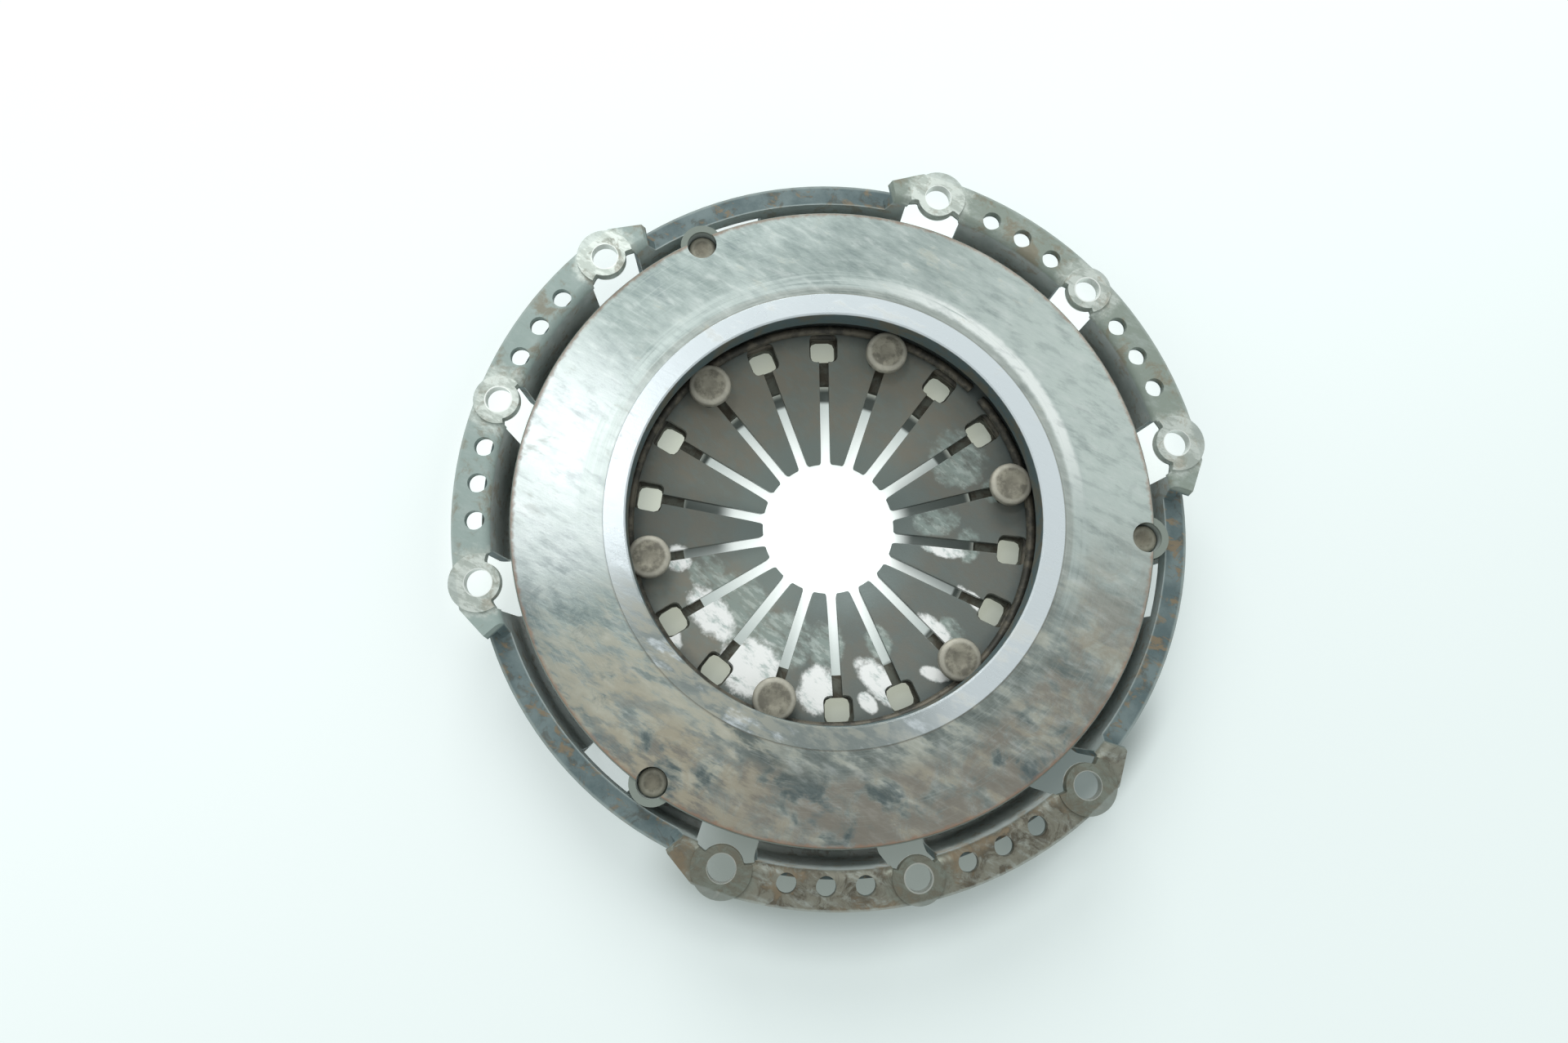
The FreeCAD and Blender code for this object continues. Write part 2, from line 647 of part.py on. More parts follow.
pieces = [make_cover(), make_pressure_plate(), make_diaphragm_spring()]
pieces.append(make_pivot_ring("front_pivot_ring", front_wire))
pieces.append(make_pivot_ring("rear_pivot_ring", rear_wire))
rivet_angles = [f"({angle} + {third} * 360 / {THIRDS})" for third in range(THIRDS)
                for angle in RIVET_ANGLES]
for index, angle in enumerate(rivet_angles, start=1):
    pieces.append(make_spring_rivet(f"spring_rivet_{index}", angle))
for strap in range(THIRDS):
    for layer in range(LEAVES):
        pieces.append(make_leaf(f"strap_{strap + 1}_leaf_{layer + 1}", strap, layer))
    pieces.append(make_strap_rivet(f"strap_plate_rivet_{strap + 1}", lug_place,
                                   lug_direction(strap), sink_floor, seat_top))
    pieces.append(make_strap_rivet(f"strap_cover_rivet_{strap + 1}", seat_place,
                                   seat_direction(strap), leaves_top, f"({seat_top} - Sizes.sheet)"))
doc.recompute()

for item in doc.Objects:
    if "Invalid" in item.State or "Error" in item.State:
        raise RuntimeError(f"{item.Label} failed: {item.State}")
for piece in pieces:
    if piece.Shape.isNull() or not piece.Shape.isValid():
        raise RuntimeError(f"{piece.Label} has no valid shape")
    if len(piece.Shape.Solids) != 1:
        raise RuntimeError(f"{piece.Label} has {len(piece.Shape.Solids)} solids")

os.makedirs("parts", exist_ok=True)
for piece in pieces:
    piece.Shape.exportStep(f"parts/{piece.Label}.step")
    box = piece.Shape.BoundBox
    print(f"{piece.Label}: volume {piece.Shape.Volume:.0f} mm3, z {box.ZMin:.2f} to {box.ZMax:.2f}")
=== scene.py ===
import math

import bmesh
import bpy
from mathutils import Matrix, Vector, noise


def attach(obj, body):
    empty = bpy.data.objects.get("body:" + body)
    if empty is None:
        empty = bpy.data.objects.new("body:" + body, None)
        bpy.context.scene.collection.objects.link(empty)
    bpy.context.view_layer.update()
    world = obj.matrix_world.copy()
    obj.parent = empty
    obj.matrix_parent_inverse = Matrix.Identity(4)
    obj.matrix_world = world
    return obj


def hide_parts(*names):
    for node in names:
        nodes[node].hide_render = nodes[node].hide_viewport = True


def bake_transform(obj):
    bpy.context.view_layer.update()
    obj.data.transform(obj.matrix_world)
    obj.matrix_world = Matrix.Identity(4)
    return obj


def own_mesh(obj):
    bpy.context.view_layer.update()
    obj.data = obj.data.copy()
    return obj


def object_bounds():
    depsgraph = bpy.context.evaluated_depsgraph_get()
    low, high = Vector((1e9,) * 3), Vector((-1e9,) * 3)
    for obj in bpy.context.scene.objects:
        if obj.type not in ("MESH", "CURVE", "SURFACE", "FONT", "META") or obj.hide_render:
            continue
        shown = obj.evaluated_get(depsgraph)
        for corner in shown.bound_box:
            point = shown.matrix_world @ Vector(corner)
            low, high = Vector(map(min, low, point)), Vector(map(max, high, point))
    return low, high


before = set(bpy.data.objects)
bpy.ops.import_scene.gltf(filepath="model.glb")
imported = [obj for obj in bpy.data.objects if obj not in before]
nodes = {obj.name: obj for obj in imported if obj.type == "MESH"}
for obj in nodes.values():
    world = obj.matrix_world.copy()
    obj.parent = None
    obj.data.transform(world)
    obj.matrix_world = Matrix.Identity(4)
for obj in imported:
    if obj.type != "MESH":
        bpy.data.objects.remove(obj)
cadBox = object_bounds()
mm = 0.001
thirds = (0, 120, 240)

# Directions in the picture run 11.87 degrees ahead of the part's own X axis.
pictureTurn = 11.87


class Flow:
    # one shader socket; sums on it add their own Math nodes
    def __init__(self, wiring, socket):
        self.wiring = wiring
        self.socket = socket

    def __add__(self, other):
        return self.wiring.maths("ADD", self, other)

    def __sub__(self, other):
        return self.wiring.maths("SUBTRACT", self, other)

    def __rsub__(self, other):
        return self.wiring.maths("SUBTRACT", other, self)

    def __mul__(self, other):
        return self.wiring.maths("MULTIPLY", self, other)

    def __truediv__(self, other):
        return self.wiring.maths("DIVIDE", self, other)

    def __pow__(self, other):
        return self.wiring.maths("POWER", self, other)

    def __or__(self, other):
        return self.wiring.maths("MAXIMUM", self, other)

    __radd__ = __add__
    __rmul__ = __mul__


class Wiring:
    # the nodes of one material or of the world
    def __init__(self, tree):
        self.tree = tree

    def feed(self, socket, value):
        if isinstance(value, Flow):
            self.tree.links.new(value.socket, socket)
        else:
            socket.default_value = value

    def node(self, kind, settings, inputs, output=0):
        made = self.tree.nodes.new(kind)
        for key, value in settings.items():
            setattr(made, key, value)
        for key, value in inputs.items():
            self.feed(made.inputs[key], value)
        return Flow(self, made.outputs[output])

    def maths(self, operation, first, second):
        return self.node("ShaderNodeMath", {"operation": operation}, {0: first, 1: second})

    def span(self, value, low, high, first=0.0, last=1.0):
        # runs smoothly from first to last while value goes from low to high
        return self.node("ShaderNodeMapRange", {"interpolation_type": "SMOOTHSTEP"},
                         {0: value, 1: low, 2: high, 3: first, 4: last})

    def mix(self, share, first, second):
        return self.node("ShaderNodeMix", {"data_type": "RGBA"}, {0: share, 6: first, 7: second}, 2)

    def stain(self, colour, shade, pattern, low, high, share=1.0):
        # lays a shade over a colour where the pattern passes from low to high
        return self.mix(self.span(pattern, low, high) * share, colour, shade)

    def noise(self, vector, scale, detail=4.0, roughness=0.6, distortion=0.0):
        return self.node("ShaderNodeTexNoise", {"noise_dimensions": "3D"},
                         {"Vector": vector, "Scale": scale, "Detail": detail,
                          "Roughness": roughness, "Distortion": distortion})

    def vector(self, x, y, z):
        return self.node("ShaderNodeCombineXYZ", {}, {0: x, 1: y, 2: z})

    def axes(self, vector):
        return [self.node("ShaderNodeSeparateXYZ", {}, {0: vector}, axis) for axis in range(3)]


def tint(red, green, blue):
    # a colour as a paint program gives it, turned into scene-linear values
    linear = [v / 255 / 12.92 if v <= 10 else ((v / 255 + 0.055) / 1.055) ** 2.4
              for v in (red, green, blue)]
    return (*linear, 1.0)


def palette(colours):
    return {name: tint(*rgb) for name, rgb in colours.items()}


def inPicture(direction):
    # a direction of the picture, in degrees, as an angle of the part in radians
    return math.radians(direction - pictureTurn)


def spot(circle, angle):
    # a place on a circle round the part's axis, in mm
    turn = math.radians(angle)
    return (circle * math.cos(turn), circle * math.sin(turn))


class Finish(Wiring):
    # a material whose patterns are laid out in millimetres round the part's axis
    def __init__(self, name, constants):
        self.material = bpy.data.materials.new(name)
        self.material.use_nodes = True
        super().__init__(self.material.node_tree)
        self.shader = self.tree.nodes["Principled BSDF"]
        for socket, value in constants.items():
            self.shader.inputs[socket].default_value = value
        place = self.node("ShaderNodeTexCoord", {}, {}, "Object")
        self.place = self.node("ShaderNodeVectorMath", {"operation": "SCALE"}, {0: place, 3: 1 / mm})
        self.x, self.y, self.z = self.axes(self.place)
        self.radius = (self.x * self.x + self.y * self.y + 0.0001) ** 0.5
        self.east = self.x / self.radius
        self.north = self.y / self.radius
        self.ragged = self.noise(self.place, 0.32, 5.0, 0.65) - 0.5

    def lathed(self, along, across):
        # coordinates that change slowly round the axis and fast with the radius
        return self.vector(self.east * along, self.north * along, self.radius * across)

    def streaks(self, direction, stretch, scale, detail=4.0, roughness=0.6):
        # noise drawn out along a direction of the picture
        turn = inPicture(direction)
        along = (self.x * math.cos(turn) + self.y * math.sin(turn)) / stretch
        across = self.y * math.cos(turn) - self.x * math.sin(turn)
        return self.noise(self.vector(along, across, self.z), scale, detail, roughness)

    def sector(self, middle, half, soft):
        # 1 within half degrees of a direction in the picture, 0 beyond
        turn = inPicture(middle)
        near = self.east * math.cos(turn) + self.north * math.sin(turn)
        return self.span(near, math.cos(math.radians(min(half + soft, 180))),
                         math.cos(math.radians(max(half - soft, 0))))

    def hump(self, value, start, full, hold, end):
        # 0 before start, 1 from full to hold, 0 after end
        return self.span(value, start, full) * self.span(value, hold, end, 1.0, 0.0)

    def sectors(self, places):
        return {name: self.sector(*place) for name, place in places.items()}

    def band(self, value, low, high, soft):
        return self.hump(value, low - soft, low + soft, high - soft, high + soft)

    def blot(self, direction, away, length, width, turn=0.0):
        # a ragged blot at a direction and distance, with its length turned away from the radius
        towards = inPicture(direction)
        lean = towards + math.radians(turn)
        east = self.x - away * math.cos(towards)
        north = self.y - away * math.sin(towards)
        along = (east * math.cos(lean) + north * math.sin(lean)) / (length / 2)
        across = (north * math.cos(lean) - east * math.sin(lean)) / (width / 2)
        return self.span(along * along + across * across + self.ragged * 1.6, 0.55, 1.25, 1.0, 0.0)

    def blots(self, places):
        covered = 0.0
        for place in places:
            covered = self.blot(*place) | covered
        return covered

    def nearest(self, centres):
        # distance in mm, seen from the front, to the nearest of several centres
        away = None
        for across, up in centres:
            east = self.x - across
            north = self.y - up
            distance = (east * east + north * north) ** 0.5
            away = distance if away is None else self.maths("MINIMUM", away, distance)
        return away

    def finish(self, colour, roughness, metallic, height, lift):
        for name, value in (("Base Color", colour), ("Roughness", roughness), ("Metallic", metallic)):
            self.feed(self.shader.inputs[name], value)
        bump = self.node("ShaderNodeBump", {}, {"Strength": 1.0, "Distance": lift * mm, "Height": height})
        self.feed(self.shader.inputs["Normal"], bump)
        return self.material


# The eye stands 0.3 m in front of the ring, low and to the left, as the circles of the picture say.
cameraSizes = {
    "lens": 22.5,
    "film": 36.0,
    "near": 0.01,
    "distance": 307.52,
    "aside": (-16.36, -2.82),
    "tip": 0.178705,
    "lean": -0.040506,
    "faceHeight": -3.0,
}


def makeCamera(sizes):
    data = bpy.data.cameras.new("camera")
    data.lens = sizes["lens"]
    data.sensor_width = sizes["film"]
    data.clip_start = sizes["near"]
    camera = bpy.data.objects.new("camera", data)
    bpy.context.scene.collection.objects.link(camera)
    turn = (Matrix.Rotation(math.radians(-pictureTurn), 4, "Z")
            @ Matrix.Rotation(sizes["lean"], 4, "Y")
            @ Matrix.Rotation(sizes["tip"], 4, "X"))
    eye = turn @ Vector((*sizes["aside"], sizes["distance"]))
    eye.z += sizes["faceHeight"]
    camera.matrix_world = Matrix.Translation(eye * mm) @ turn
    bpy.context.scene.camera = camera


makeCamera(cameraSizes)
print("camera stands")


# Making and hanging the pieces

def adopt(piece, finish, replaced, body=None):
    # hangs a new piece in place of a CAD node; a piece given no body is left unattached
    bpy.context.scene.collection.objects.link(piece)
    piece.data.materials.append(finish)
    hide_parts(replaced)
    if body:
        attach(piece, body)
    return piece


def meshPiece(name, vertices, faces):
    mesh = bpy.data.meshes.new(name)
    mesh.from_pydata(vertices, [], faces)
    mesh.validate()
    mesh.polygons.foreach_set("use_smooth", [True] * len(mesh.polygons))
    return bpy.data.objects.new(name, mesh)


def fromShape(name, shape):
    # turns a finished bmesh into a smooth piece
    shape.verts.index_update()
    vertices = [v.co.copy() for v in shape.verts]
    faces = [[v.index for v in f.verts] for f in shape.faces]
    shape.free()
    return meshPiece(name, vertices, faces)


def thicken(piece, thickness):
    # gives a front surface its sheet thickness, towards the back
    sheet = piece.modifiers.new("sheet", "SOLIDIFY")
    sheet.thickness = thickness * mm
    sheet.offset = -1.0


# edges sharper than this many degrees are rounded; lengths in mm
meshSizes = {
    "sharp": 32,
    "flat": 0.6,
    "merge": 0.004,
    "weld": 0.01,
    "evenness": 60,
}


def evenNormals(piece):
    # keeps broad faces flat between rounded edges
    normals = piece.modifiers.new("normals", "WEIGHTED_NORMAL")
    normals.weight = meshSizes["evenness"]


def soften(piece, width, segments=2):
    # rounds every sharp edge by width mm
    bevel = piece.modifiers.new("edges", "BEVEL")
    bevel.width = width * mm
    bevel.segments = segments
    bevel.limit_method = "ANGLE"
    bevel.angle_limit = math.radians(meshSizes["sharp"])
    bevel.miter_outer = "MITER_ARC"
    evenNormals(piece)


def softened(name, node, width):
    # a CAD node's shape with its triangles merged and its edges rounded
    shape = bmesh.new()
    shape.from_mesh(nodes[node].data)
    bmesh.ops.remove_doubles(shape, verts=shape.verts, dist=meshSizes["merge"] * mm)
    bmesh.ops.dissolve_limit(shape, angle_limit=math.radians(meshSizes["flat"]),
                             verts=shape.verts, edges=shape.edges)
    piece = fromShape(name, shape)
    soften(piece, width)
    return piece


def lathe(name, profile, centre, steps, wobble=0.012):
    # turns a profile of (radius, height) pairs round an upright line through centre, a little out of round
    vertices = []
    faces = []
    for radius, height in profile:
        for k in range(steps):
            turn = math.tau * k / steps
            out = Vector((math.cos(turn), math.sin(turn), 0)) * max(radius, 0.001)
            shake = noise.noise(Vector((*centre, 0)) + out * 0.35 + Vector((0, 0, height))) * wobble
            vertices.append((Vector((*centre, height)) + out * (1 + shake)) * mm)
    for ring in range(len(profile) - 1):
        for k in range(steps):
            after = (k + 1) % steps
            faces.append((ring * steps + k, ring * steps + after,
                          (ring + 1) * steps + after, (ring + 1) * steps + k))
    shape = bmesh.new()
    made = [shape.verts.new(v) for v in vertices]
    for face in faces:
        shape.faces.new([made[k] for k in face])
    bmesh.ops.remove_doubles(shape, verts=shape.verts, dist=meshSizes["weld"] * mm)
    bmesh.ops.recalc_face_normals(shape, faces=shape.faces)
    piece = fromShape(name, shape)
    evenNormals(piece)
    return piece


# Cast ring: bright unworn band, scored track, rust where damp stood, heat spots on the lower side

ringSizes = {
    "edgeRounding": 0.3,
    "bandEdge": 72.9,
    "polishEdge": 80.6,
    "faceEdge": 100.6,
    "faceHeights": (-3.6, -3.35),
    "streakRadii": (75.6, 79.4),
    "duskRadii": (73.0, 75.4),
    "brownRadii": (76.0, 84.0),
    "heatRadii": (78.0, 86.0),
    "rimShadeRadii": (93.0, 98.5),
    "lugRadii": (98.0, 100.5),
    "sideRadii": (99.5, 101.0),
    "sideHeights": (-4.6, -5.4),
    "drawnLean": -27,
    "fleckLean": -32,
    "scoreLift": 0.05,
}
# places on the face: direction in the picture, half width and softness, in degrees
ringPlaces = {
    "right": (12, 38, 30),
    "left": (170, 16, 17),
    "lower": (285, 55, 28),
    "rimShadeLowerLeft": (226, 30, 15),
    "polished": (80, 100, 20),
    "streaked": (42, 30, 14),
    "dusky": (60, 90, 20),
    "brown": (282, 62, 22),
    "damp": (228, 22, 15),
    "dampAbove": (100, 70, 30),
    "heated": (262, 66, 20),
    "dullBand": (246, 44, 18),
    "litGroove": (165, 30, 15),
}
ringColours = {
    "casting": (88, 106, 108),
    "castingRust": (104, 104, 92),
    "lug": (132, 142, 134),
    "side": (164, 174, 170),
    "steel": (160, 175, 171),
    # painted light on the right, a painted highlight on the left that also colours scratches, painted shade
    # below
    "paintedLightRight": (214, 228, 222),
    "paintedGlareAndScratches": (226, 235, 235),
    "paintedShadeBelow": (128, 136, 130),
    "band": (230, 240, 244),
    "lowerBand": (150, 160, 157),
    "haze": (204, 217, 213),
    "shine": (242, 249, 246),
    "rust": (176, 169, 146),
    "brown": (126, 118, 106),
    "heat": (90, 108, 112),
    "edgeRust": (150, 118, 96),
}


def makeRingFinish(sizes, places, colours):
    f = Finish("worn cast ring", {})
    shades = palette(colours)
    at = f.sectors(places)
    bandEdge, faceEdge = sizes["bandEdge"], sizes["faceEdge"]
    facing = f.span(f.z, *sizes["faceHeights"])
    inner = f.span(f.radius, bandEdge + 0.2, bandEdge - 0.3)
    clouds = f.noise(f.place, 0.05, 5.0, 0.62)
    patches = f.noise(f.vector(f.x + 37.0, f.y, f.z), 0.085, 6.0, 0.68, 0.6)
    drawn = f.streaks(sizes["drawnLean"], 3.2, 0.2, 5.0, 0.66)
    scratch = f.streaks(sizes["drawnLean"], 9.0, 0.9, 3.0, 0.7)
    flecks = f.streaks(sizes["fleckLean"], 3.0, 0.34, 4.0, 0.62)
    rings = f.noise(f.lathed(2.2, 0.9), 1.0, 3.0, 0.6)
    scores = f.noise(f.lathed(5.0, 2.2), 1.0, 3.0, 0.75)

    # worn steel with painted light: paler on the right, a painted highlight on the left and painted shade
    # below
    face = f.mix(at["right"], shades["steel"], shades["paintedLightRight"])
    face = f.mix(at["left"], face, shades["paintedGlareAndScratches"])
    face = f.mix(at["lower"], face, shades["paintedShadeBelow"])
    face = f.stain(face, shades["haze"], clouds, 0.42, 0.66, 0.35)
    face = f.stain(face, shades["haze"], drawn, 0.42, 0.7, 0.45)
    face = f.stain(face, shades["heat"], drawn, 0.48, 0.3, 0.35)
    face = f.stain(face, shades["paintedGlareAndScratches"], scratch, 0.52, 0.72, 0.16)
    # the inner part of the track is polished; its one bright streak is a painted highlight
    polished = f.band(f.radius, bandEdge, sizes["polishEdge"], 0.5)
    face = f.stain(face, shades["haze"], rings, 0.3, 0.62, polished * at["polished"] * 0.85)
    glareStreak = f.band(f.radius + f.ragged * 1.6, *sizes["streakRadii"], 0.8) * at["streaked"]
    glareStreak = glareStreak * f.span(rings, 0.2, 0.4)
    face = f.mix(glareStreak, face, shades["shine"])
    dusk = f.band(f.radius + f.ragged, *sizes["duskRadii"], 0.7) * at["dusky"]
    face = f.mix(dusk * 0.3, face, shades["brown"])
    face = f.stain(face, shades["shine"], flecks, 0.5, 0.72, 0.3)
    face = f.stain(face, shades["heat"], flecks, 0.5, 0.32, 0.22)
    # painted shade on the lower left of the rim, laid in the heat colour
    face = f.stain(face, shades["heat"], f.radius + f.ragged * 4.0, *sizes["rimShadeRadii"],
                   at["rimShadeLowerLeft"] * 0.45)
    face = f.stain(face, shades["haze"], scores, 0.52, 0.7, 0.3)

    # brown film, rust where damp stood and slate heat spots
    brown = at["brown"] * f.span(patches, 0.38, 0.6) * f.span(f.radius, *sizes["brownRadii"])
    face = f.mix(brown * 0.75, face, shades["brown"])
    damp = at["damp"] * f.span(flecks * 0.8 + drawn, 0.8, 1.0)
    damp = damp | (at["dampAbove"] * f.span(patches + drawn, 1.12, 1.3) * 0.5)
    damp = damp | (at["brown"] * f.span(drawn + clouds, 1.02, 1.2) * 0.6)
    face = f.mix(damp * 0.62, face, shades["rust"])
    heat = at["heated"] * f.span(patches + clouds, 0.99, 0.81) * f.span(f.radius, *sizes["heatRadii"])
    heat = heat | (f.span(patches + clouds, 0.86, 0.76) * 0.16)
    face = f.mix(heat * 0.62, face, shades["heat"])

    # rusty outer rim, bright inner band and the groove between band and track
    rim = f.span(f.radius + f.ragged * 3.0, faceEdge - 0.8, faceEdge + 0.6)
    face = f.mix(rim * 0.7, face, shades["edgeRust"])
    band = f.stain(shades["band"], shades["lowerBand"], drawn + clouds, 0.76, 0.98, at["dullBand"])
    band = f.mix(damp * 0.5, band, shades["rust"])
    face = f.mix(inner, face, band)
    # painted shade in the groove between band and track, lighter on the left under the painted highlight
    grooveShade = f.band(f.radius, bandEdge - 0.1, bandEdge + 0.35, 0.15)
    face = f.mix(grooveShade * (0.4 - at["litGroove"] * 0.3), face, shades["brown"])

    # rough casting below the face, paler on the lugs and the outer side
    casting = f.stain(shades["casting"], shades["castingRust"], patches, 0.42, 0.62)
    casting = f.stain(casting, shades["lug"], f.radius, *sizes["lugRadii"])
    below = f.span(f.z, *sizes["sideHeights"])
    casting = f.stain(casting, shades["side"], f.radius, *sizes["sideRadii"], below)
    colour = f.mix(facing, casting, face)
    dull = damp | brown | rim
    metallic = facing * (0.62 - dull * 0.4 - inner * 0.15 - glareStreak * 0.35)
    roughness = f.span(facing, 0.0, 1.0, 0.82, 0.28) + facing * (dull * 0.38 + clouds * 0.08 - inner * 0.04)
    pits = f.noise(f.place, 1.6, 3.0, 0.7) * (1.6 - facing * 1.2)
    height = scratch * 0.4 + flecks * 0.5 + drawn * 0.6 + pits + dull * 0.5
    return f.finish(colour, roughness, metallic, height, sizes["scoreLift"])


# Pressed cover: slate walls, three flanges of unlike colour, pads rubbed bare

coverSizes = {
    "edgeRounding": 0.35,
    "holeCircle": 111.5,
    "holeAngles": (0, 30, 60),
    "boreEdge": (4.5, 4.3),
    "wornRound": (12.5, 8.5),
    "padHeights": (-0.47, -0.27),
    "flangeHeights": (-3.4, -2.2),
    "lipHeights": (-8.6, -7.0),
    "lipRadii": (108.1, 109.1),
    "lipEdge": (112.5, 113.2),
    "flangeEdge": (117.6, 118.2),
    "wallInside": (105.5, 103.5),
    "wallOutside": (106.4, 107.6),
    "drawnLean": -27,
    "dirtLift": 0.06,
}
# flanges and the gaps between them: direction in the picture, half width and softness, in degrees
coverPlaces = {
    "lower": (282, 40, 6),
    "upperRight": (42, 44, 6),
    "topGap": (102, 20, 6),
    "leftGap": (222, 20, 6),
    "rightGap": (342, 20, 6),
}
coverColours = {
    # the three wall colours are painted light: near white so that the deep, little-lit wall shows bright
    "wall": (240, 246, 241),
    "paintedLightWallDim": (216, 226, 221),
    "paintedLightGapWall": (206, 218, 215),
    "upperRight": (144, 156, 146),
    "left": (158, 175, 170),
    "lower": (124, 124, 111),
    "rust": (140, 126, 102),
    "dirt": (84, 80, 68),
    "bare": (216, 225, 218),
    "lowerBare": (134, 136, 123),
    "slate": (92, 110, 112),
    "paleSlate": (134, 150, 150),
    "edge": (178, 190, 186),
    "back": (104, 108, 98),
}


def makeCoverFinish(sizes, places, colours):
    f = Finish("pressed steel", {})
    shades = palette(colours)
    at = f.sectors(places)
    clouds = f.noise(f.place, 0.07, 5.0, 0.62)
    grime = f.noise(f.vector(f.x, f.y + 53.0, f.z), 0.16, 6.0, 0.7, 0.8)
    drawn = f.streaks(sizes["drawnLean"], 2.6, 0.35, 5.0, 0.66)
    flange = f.span(f.z, *sizes["flangeHeights"])
    centres = [spot(sizes["holeCircle"], third + angle) for third in thirds for angle in sizes["holeAngles"]]
    holes = f.nearest(centres)
    bore = f.span(holes, *sizes["boreEdge"])
    # wear spreads from the pads over the flange beside them
    pad = f.span(f.z, *sizes["padHeights"])
    pad = pad | (f.span(holes + f.ragged * 9.0, *sizes["wornRound"]) * flange * 0.75)

    top = f.mix(at["upperRight"], shades["left"], shades["upperRight"])
    top = f.mix(at["lower"], top, shades["lower"])
    top = f.stain(top, shades["edge"], drawn, 0.46, 0.68, 0.4)
    top = f.stain(top, shades["dirt"], grime, 0.44, 0.62, at["lower"])
    top = f.stain(top, shades["rust"], grime + clouds, 1.0, 1.2, 0.6)
    rubbed = f.mix(at["lower"], shades["bare"], shades["lowerBare"])
    rubbed = f.stain(rubbed, shades["rust"], grime, 0.5, 0.66, 0.55)
    rubbed = f.stain(rubbed, shades["upperRight"], drawn, 0.56, 0.42, 0.5)
    rubbed = f.stain(rubbed, shades["dirt"], grime, 0.44, 0.58, at["lower"] * 0.4)

    # between ring and flange the wall is painted near white as painted light, slate outside and dirty within
    wall = f.stain(shades["paintedLightWallDim"], shades["wall"], clouds, 0.36, 0.62)
    wall = f.mix(at["topGap"] | at["leftGap"] | at["rightGap"], wall, shades["paintedLightGapWall"])
    weathered = f.stain(shades["slate"], shades["paleSlate"], clouds, 0.38, 0.64, 0.6)
    weathered = f.stain(weathered, shades["dirt"], grime, 0.5, 0.62, 0.5)
    weathered = f.stain(weathered, shades["rust"], grime + drawn, 1.06, 1.2, 0.7)
    wall = f.mix(f.span(f.radius, *sizes["wallOutside"]), wall, weathered)
    wall = f.stain(wall, shades["rust"], drawn + grime, 1.04, 1.2, 0.4)
    dirty = f.stain(shades["back"], shades["dirt"], grime, 0.4, 0.6)
    wall = f.mix(f.span(f.radius, *sizes["wallInside"]), wall, dirty)

    colour = f.mix(flange, wall, top)
    colour = f.mix(pad, colour, rubbed)
    # painted highlights lie on the sheared edges of flanges and lips, and painted light in the bores of the
    # holes, less on the lower flange
    lip = f.band(f.z, *sizes["lipHeights"], 0.3) * f.span(f.radius, *sizes["lipRadii"])
    outline = f.span(f.radius + f.ragged, *sizes["flangeEdge"]) | (lip * f.span(f.radius, *sizes["lipEdge"]))
    colour = f.mix(outline * 0.45, colour, shades["edge"])
    colour = f.mix(bore * (1.0 - at["lower"] * 0.6), colour, shades["wall"])
    bare = pad * (1.0 - f.span(grime, 0.5, 0.66) * 0.6)
    metallic = 0.22 + bare * 0.4
    roughness = 0.62 - bare * 0.2 + f.span(grime, 0.45, 0.65) * 0.15
    height = grime + drawn * 0.4 + f.noise(f.place, 1.4, 3.0, 0.7) * 0.8
    return f.finish(colour, roughness, metallic, height, sizes["dirtLift"])


# Diaphragm: dark tempered fingers with dried pale splashes and rubbed greenish patches

springSizes = {
    "fingers": 18,
    "bore": 22.4,
    "edge": 84.0,
    "pivot": 66.4,
    "frontAtPivot": -20.607,
    "slope": math.tan(math.radians(14)),
    "tipLength": 7.6,
    "tipCurl": 0.5,
    "slit": 3.2,
    "windowStart": 56.6,
    "windowEnd": 66.0,
    "windowWide": 9.6,
    "windowCorner": 2.2,
    "thickness": 2.4,
    "tipRounding": 0.5,
    "edgeRounding": 0.3,
    "tipRows": ((0.0, 1.0), (0.3, 0.45), (0.9, 0.1)),  # distance from the bore, share of the rounding
    "fingerRows": (26.0, 35.0, 40.0, 45.0, 50.0),
    "rimRows": (68.5, 72.0, 76.0, 80.0),
    "cornerTurns": (0, 22.5, 45, 67.5, 90),
    "fingerShares": (0.3, 0.4, 0.5, 0.6, 0.7),
    "flattened": 0.15,
    "tipTone": (38.0, 27.0),
    "outerTone": (61.0, 67.0),
    "grainLean": -40,
    "chalkLean": -35,
    "grainLift": 0.05,
}
# fingers darkened with painted shade: direction in the picture, half width and softness, in degrees
springPlaces = {
    "lowerRight": (320, 72, 22),
    "left": (182, 12, 9),
}
springColours = {
    "dark": (128, 133, 125),
    "brown": (136, 134, 122),
    "slate": (128, 142, 138),
    "rubbed": (150, 166, 160),
    "chalk": (186, 200, 194),
    "splash": (250, 253, 251),
    "thinSplash": (188, 202, 198),
    "shade": (72, 84, 84),
}
# splashes: direction in the picture, distance out, length, width, turn of the length from the radius
springSplashes = (
    (241, 54.5, 19.0, 22.0, 0), (265, 55.0, 16.0, 13.0, 0), (287, 55.0, 22.0, 9.0, 25),
    (217, 49.5, 12.0, 20.0, 0), (193, 52.0, 9.0, 9.0, 0), (214, 63.5, 5.5, 13.0, -5),
    (304, 60.0, 10.0, 4.5, 36), (314, 50.0, 16.0, 7.0, -4), (331, 57.0, 20.0, 4.0, -15),
    (349, 39.5, 15.0, 6.0, -6), (281, 60.0, 8.0, 5.0, 30), (256, 61.0, 6.0, 4.0, 0),
)
springRubs = (
    (28, 49.5, 18.0, 20.0, 0), (3, 36.5, 15.0, 10.0, 0),
    (222, 42.0, 22.0, 26.0, 0), (248, 42.0, 20.0, 20.0, 0), (201, 44.0, 12.0, 11.0, 0),
    (268, 40.0, 16.0, 12.0, 0), (12, 57.0, 9.0, 8.0, 0), (352, 47.0, 8.0, 12.0, 0),
    (292, 42.0, 12.0, 8.0, 0), (318, 53.0, 10.0, 8.0, 0),
)


